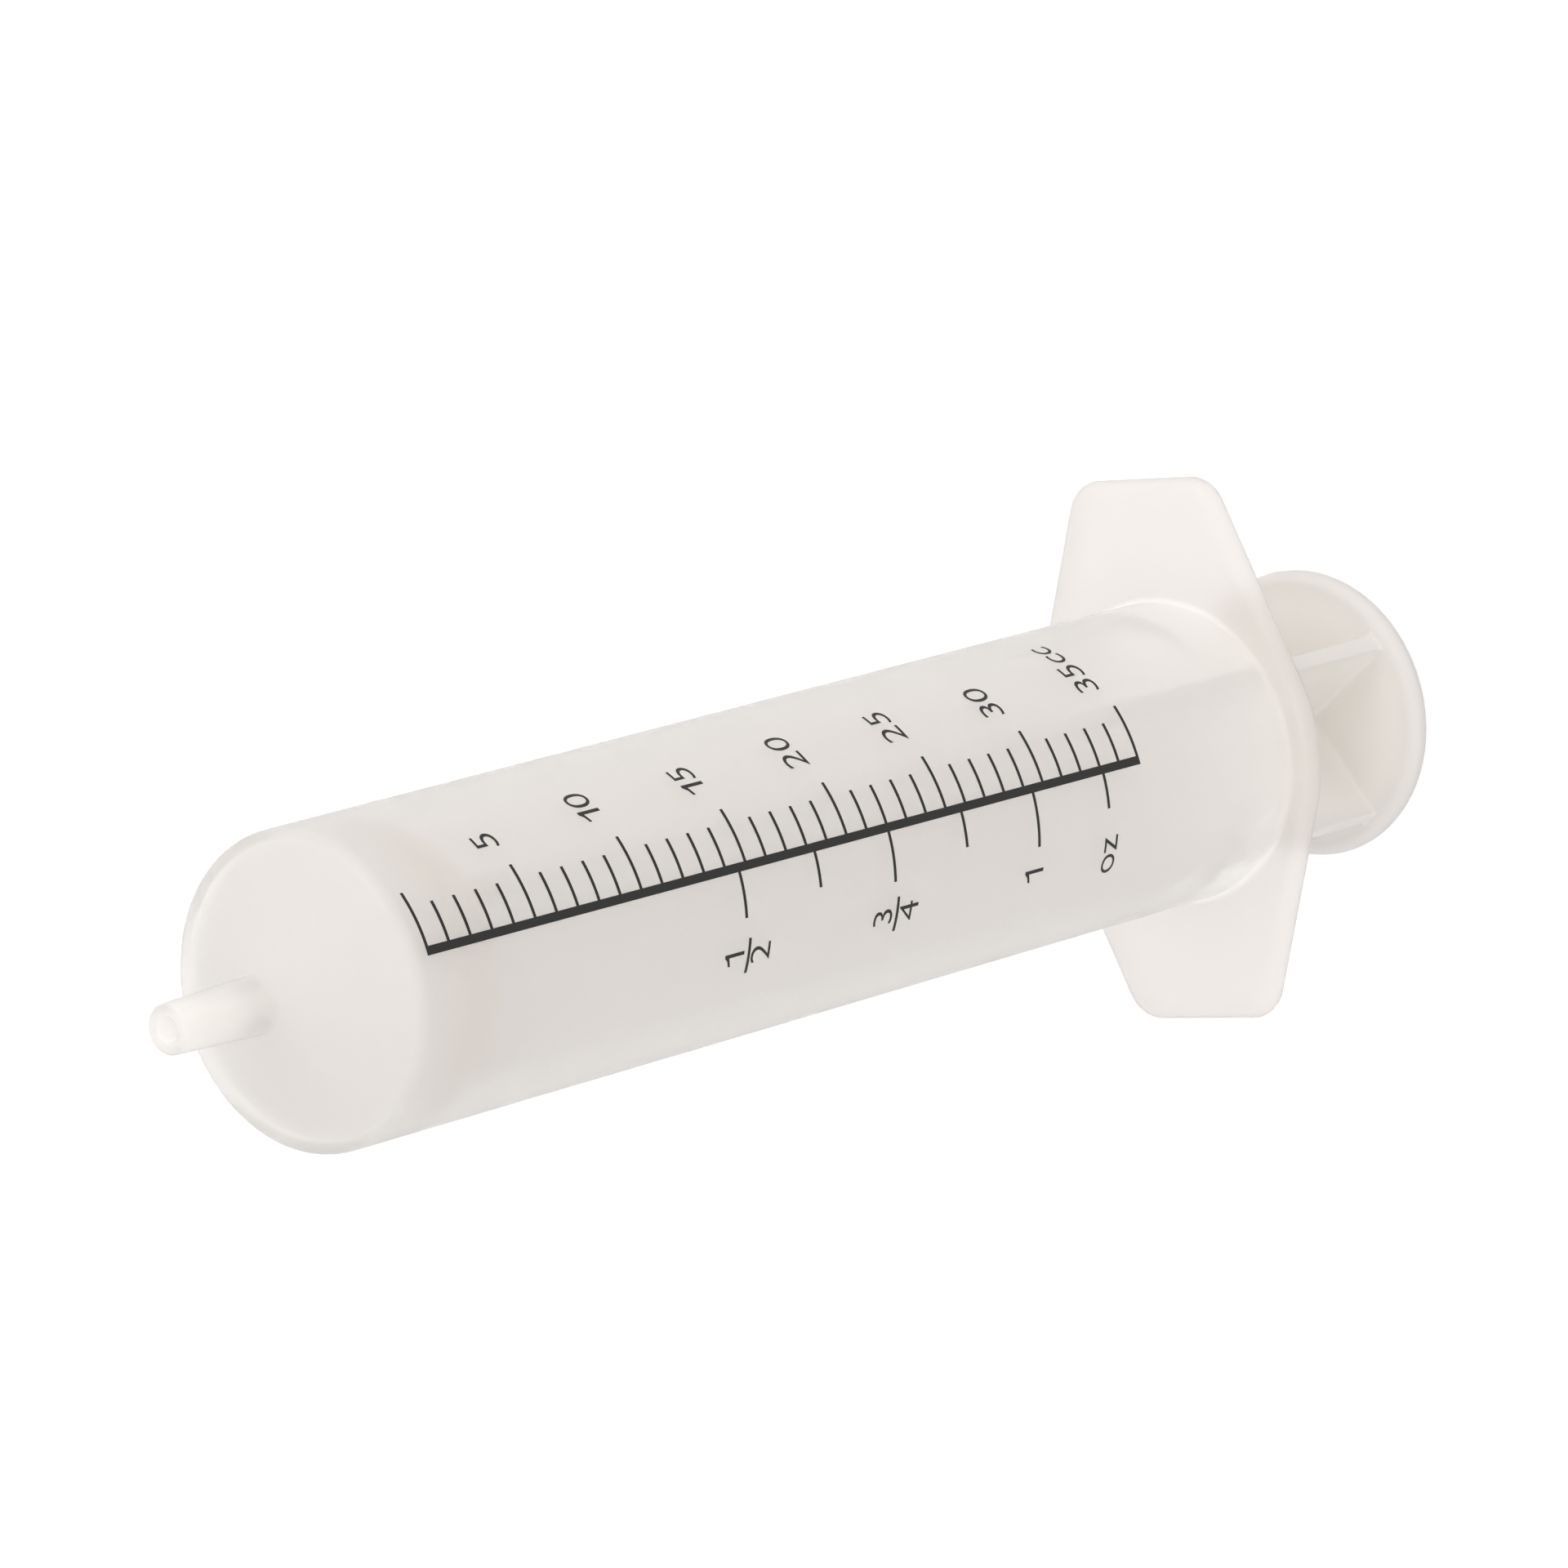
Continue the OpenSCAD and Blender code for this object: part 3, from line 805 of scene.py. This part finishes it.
def glyph(character):
    """One character as a prism of height 1 that stands on z 0 with its left edge at x 0, its strokes a little
    thinner than the built-in font's. The font's figure 1 has next to no flag, so that one is drawn."""
    if character == "1":
        return prism(FIGURE_ONE)
    curve = bpy.data.curves.new("glyph", "FONT")
    curve.body = character
    curve.extrude = 0.5
    curve.offset = -STROKE_INSET
    holder = bpy.data.objects.new("glyph", curve)
    bpy.context.collection.objects.link(holder)
    mesh = bpy.data.meshes.new_from_object(holder.evaluated_get(bpy.context.evaluated_depsgraph_get()))
    bpy.data.objects.remove(holder)
    shape = bmesh.new()
    shape.from_mesh(mesh)
    bpy.data.meshes.remove(mesh)
    bmesh.ops.remove_doubles(shape, verts=shape.verts, dist=GLYPH_WELD)
    bmesh.ops.dissolve_degenerate(shape, edges=shape.edges, dist=GLYPH_WELD)
    left = min(v.co.x for v in shape.verts)
    foot = min(v.co.y for v in shape.verts)
    height = max(v.co.y for v in shape.verts) - foot
    for v in shape.verts:
        v.co = Vector(((v.co.x - left) / height, v.co.z, (v.co.y - foot) / height))
    return shape


def right_edge(shape):
    """The largest x of a shape."""
    return max(v.co.x for v in shape.verts)


def merge(whole, shape):
    """Moves a shape's mesh into a larger one."""
    mesh = bpy.data.meshes.new("shape")
    shape.to_mesh(mesh)
    shape.free()
    whole.from_mesh(mesh)
    bpy.data.meshes.remove(mesh)


def word(text, height, wide, gap):
    """Characters side by side from x 0: wide stretches them, and gap is the space between them."""
    whole = bmesh.new()
    start = 0.0
    for character in text:
        shape = glyph(character)
        for v in shape.verts:
            v.co = Vector((start + v.co.x * height * wide, v.co.y, v.co.z * height))
        start = right_edge(shape) + gap
        merge(whole, shape)
    return whole


class MESH_OT_syringe_scale_numbers(bpy.types.Operator):
    """Numbers and units of the printed scale"""

    bl_idname = "mesh.syringe_scale_numbers"
    bl_label = "Scale numbers"

    def execute(self, context):
        sizes = context.scene.syringe_scale
        zero_z = TUBE_END_Z - sizes.zero_inset
        cc = pitch()
        whole = bmesh.new()

        def number(text, height):
            """The figures of a number."""
            return word(text, height, sizes.digit_wide, sizes.digit_gap)

        def unit(text, height):
            """The letters of a unit."""
            return word(text, height, sizes.unit_wide, sizes.digit_gap / 2)

        def beside(shape, x, z):
            """Prints a shape with its left edge at x and its foot at z."""
            self.print_on(whole, shape, x, z, sizes)

        def middle(shape, z):
            """Prints a shape with its middle in the column of the ounce numbers and its foot at z."""
            self.print_on(whole, shape, -sizes.ounce_x - right_edge(shape) / 2, z, sizes)

        for value in range(sizes.long_every, sizes.marks + 1, sizes.long_every):
            rise = sizes.digit_rise - (sizes.marks - value) * sizes.digit_drift
            beside(number(str(value), sizes.digit_h), sizes.digit_x, zero_z - value * cc + rise)
        beside(unit("cc", sizes.cc_h), sizes.cc_x, zero_z - sizes.marks * cc + sizes.digit_rise)
        half, three_quarters, one, last = (
            zero_z - (sizes.ounce_cc * eighths / 8 - sizes.ounce_shift_cc) * cc for eighths in (4, 6, 8, 9))
        stroke = [(0, 0), (sizes.stroke_l, 0), (sizes.stroke_l, sizes.stroke_w), (0, sizes.stroke_w)]
        for over, under, z in (("1", "2", half), ("3", "4", three_quarters)):
            middle(number(over, sizes.ounce_h), z + sizes.over_rise)
            middle(prism(stroke), z - sizes.stroke_drop)
            middle(number(under, sizes.ounce_h), z - sizes.under_drop)
        middle(number("1", sizes.ounce_h), one - sizes.one_drop)
        middle(unit("oz", sizes.oz_h), last - sizes.oz_drop)
        mesh = bpy.data.meshes.new("scale_numbers")
        bmesh.ops.recalc_face_normals(whole, faces=whole.faces)
        whole.to_mesh(mesh)
        whole.free()
        ink = bpy.data.materials["printed_ink"]
        new_piece("scale_numbers", mesh, ink, "barrel_body")
        return {"FINISHED"}

    def print_on(self, whole, shape, x, z, sizes):
        """Cuts a flat shape into narrow strips and wraps it round the tube."""
        right = right_edge(shape)
        cut = sizes.strip_w
        while cut < right:
            bmesh.ops.bisect_plane(
                shape, geom=shape.verts[:] + shape.edges[:] + shape.faces[:], dist=PLANE_WELD,
                plane_co=(cut, 0, 0), plane_no=(1, 0, 0))
            cut += sizes.strip_w
        bmesh.ops.dissolve_degenerate(shape, edges=shape.edges, dist=CUT_WELD)
        for v in shape.verts:
            lift = (v.co.y + 0.5) * sizes.ink_t
            v.co = Vector(wrap(v.co.x + x, lift, v.co.z + z, sizes))
        merge(whole, shape)


class SCENE_OT_syringe_stage(bpy.types.Operator):
    """Camera, soft light, pale floor and white surroundings"""

    bl_idname = "scene.syringe_stage"
    bl_label = "Stage"

    def execute(self, context):
        scene = context.scene
        stage = scene.syringe_stage
        scene.view_settings.view_transform = "Standard"
        self.camera(scene, stage)
        self.floor(scene, stage)
        self.surroundings(scene, stage)
        for name, (place, side, power) in SOFTBOXES.items():
            self.softbox(scene, name, place, side, power)
        return {"FINISHED"}

    def camera(self, scene, stage):
        """Camera at the photograph's viewing angle."""
        data = bpy.data.cameras.new("camera")
        data.sensor_width = 36
        data.lens = stage.lens
        camera = bpy.data.objects.new("camera", data)
        scene.collection.objects.link(camera)
        level = math.cos(stage.elevation)
        forward = Vector((
            math.sin(stage.azimuth) * level, math.cos(stage.azimuth) * level, -math.sin(stage.elevation)))
        level_right = forward.cross(Vector((0, 0, 1))).normalized()
        level_up = level_right.cross(forward)
        up = level_up * math.cos(stage.roll) + level_right * math.sin(stage.roll)
        right = forward.cross(up)
        turn = Matrix((right, up, -forward)).transposed().to_4x4()
        place = Vector(stage.target) - forward * stage.distance
        camera.matrix_world = Matrix.Translation(place) @ turn
        scene.camera = camera

    def floor(self, scene, stage):
        """A wide pale floor just under the thumb disc, which the camera sees as white with a faint shadow."""
        half, z = 3.0, -0.1 * MM
        corners = [(-half, -half, z), (half, -half, z), (half, half, z), (-half, half, z)]
        mesh = bpy.data.meshes.new("floor")
        mesh.from_pydata(corners, [], [(0, 1, 2, 3)])
        floor = bpy.data.objects.new("floor", mesh)
        scene.collection.objects.link(floor)
        material, tree = new_material("matt_white_board")
        path = add(tree, "ShaderNodeLightPath").outputs
        seen = path["Is Camera Ray"]
        for ray in ("Is Glossy Ray", "Is Transmission Ray"):
            seen = add(tree, "ShaderNodeMath", (seen, path[ray]), operation="MAXIMUM")
        share = add(tree, "ShaderNodeMath", (seen, stage.board_share), operation="MULTIPLY")
        matt = add(tree, "ShaderNodeBsdfDiffuse", {"Color": stage.board})
        glow = add(tree, "ShaderNodeEmission", {"Color": (1, 1, 1, 1), "Strength": stage.board_glow})
        both = add(tree, "ShaderNodeMixShader", (share, matt, glow))
        add(tree, "ShaderNodeOutputMaterial", {"Surface": both})
        mesh.materials.append(material)

    def surroundings(self, scene, stage):
        """White for the camera, and a soft light of a plain level for the object."""
        world = bpy.data.worlds.new("white_tent")
        world.use_nodes = True
        tree = world.node_tree
        tree.nodes.clear()
        path = add(tree, "ShaderNodeLightPath").outputs
        soft = add(tree, "ShaderNodeBackground", {"Color": (1, 1, 1, 1), "Strength": stage.tent_light})
        white = add(tree, "ShaderNodeBackground", {"Color": (1, 1, 1, 1), "Strength": 1.0})
        both = add(tree, "ShaderNodeMixShader", (path["Is Camera Ray"], soft, white))
        add(tree, "ShaderNodeOutputWorld", {"Surface": both})
        scene.world = world

    def softbox(self, scene, name, place, side, power):
        """A square soft lamp that faces the middle of the syringe."""
        data = bpy.data.lights.new(name, "AREA")
        data.size = side
        data.energy = power
        lamp = bpy.data.objects.new(name, data)
        scene.collection.objects.link(lamp)
        lamp.location = place
        aim = Vector((0, 0, TIP_END_Z / 2)) - lamp.location
        lamp.rotation_euler = aim.to_track_quat("-Z", "Y").to_euler()


OPERATORS = (
    MESH_OT_syringe_barrel,
    MESH_OT_syringe_plunger,
    MESH_OT_syringe_scale_lines,
    MESH_OT_syringe_scale_numbers,
    SCENE_OT_syringe_stage,
)


class VIEW3D_PT_syringe(bpy.types.Panel):
    """Lists the syringe's sizes, and builds its pieces."""

    bl_idname = "VIEW3D_PT_syringe"
    bl_label = "Luer slip syringe"
    bl_space_type = "VIEW_3D"
    bl_region_type = "UI"
    bl_category = "Syringe"

    def draw(self, context):
        for operator in OPERATORS:
            self.layout.operator(operator.bl_idname)
        for name, group in GROUPS.items():
            box = self.layout.box()
            for size in group.__annotations__:
                box.prop(getattr(context.scene, name), size)


def register():
    for group in GROUPS.values():
        bpy.utils.register_class(group)
    for operator in OPERATORS:
        bpy.utils.register_class(operator)
    bpy.utils.register_class(VIEW3D_PT_syringe)
    for name, group in GROUPS.items():
        setattr(bpy.types.Scene, name, bpy.props.PointerProperty(type=group))


def unregister():
    for name in GROUPS:
        delattr(bpy.types.Scene, name)
    bpy.utils.unregister_class(VIEW3D_PT_syringe)
    for thing in (*reversed(OPERATORS), *reversed(GROUPS.values())):
        bpy.utils.unregister_class(thing)


def main():
    register()
    bpy.ops.mesh.syringe_barrel()
    bpy.ops.mesh.syringe_plunger()
    bpy.ops.mesh.syringe_scale_lines()
    bpy.ops.mesh.syringe_scale_numbers()
    bpy.ops.scene.syringe_stage()


if __name__ == "__main__":
    main()
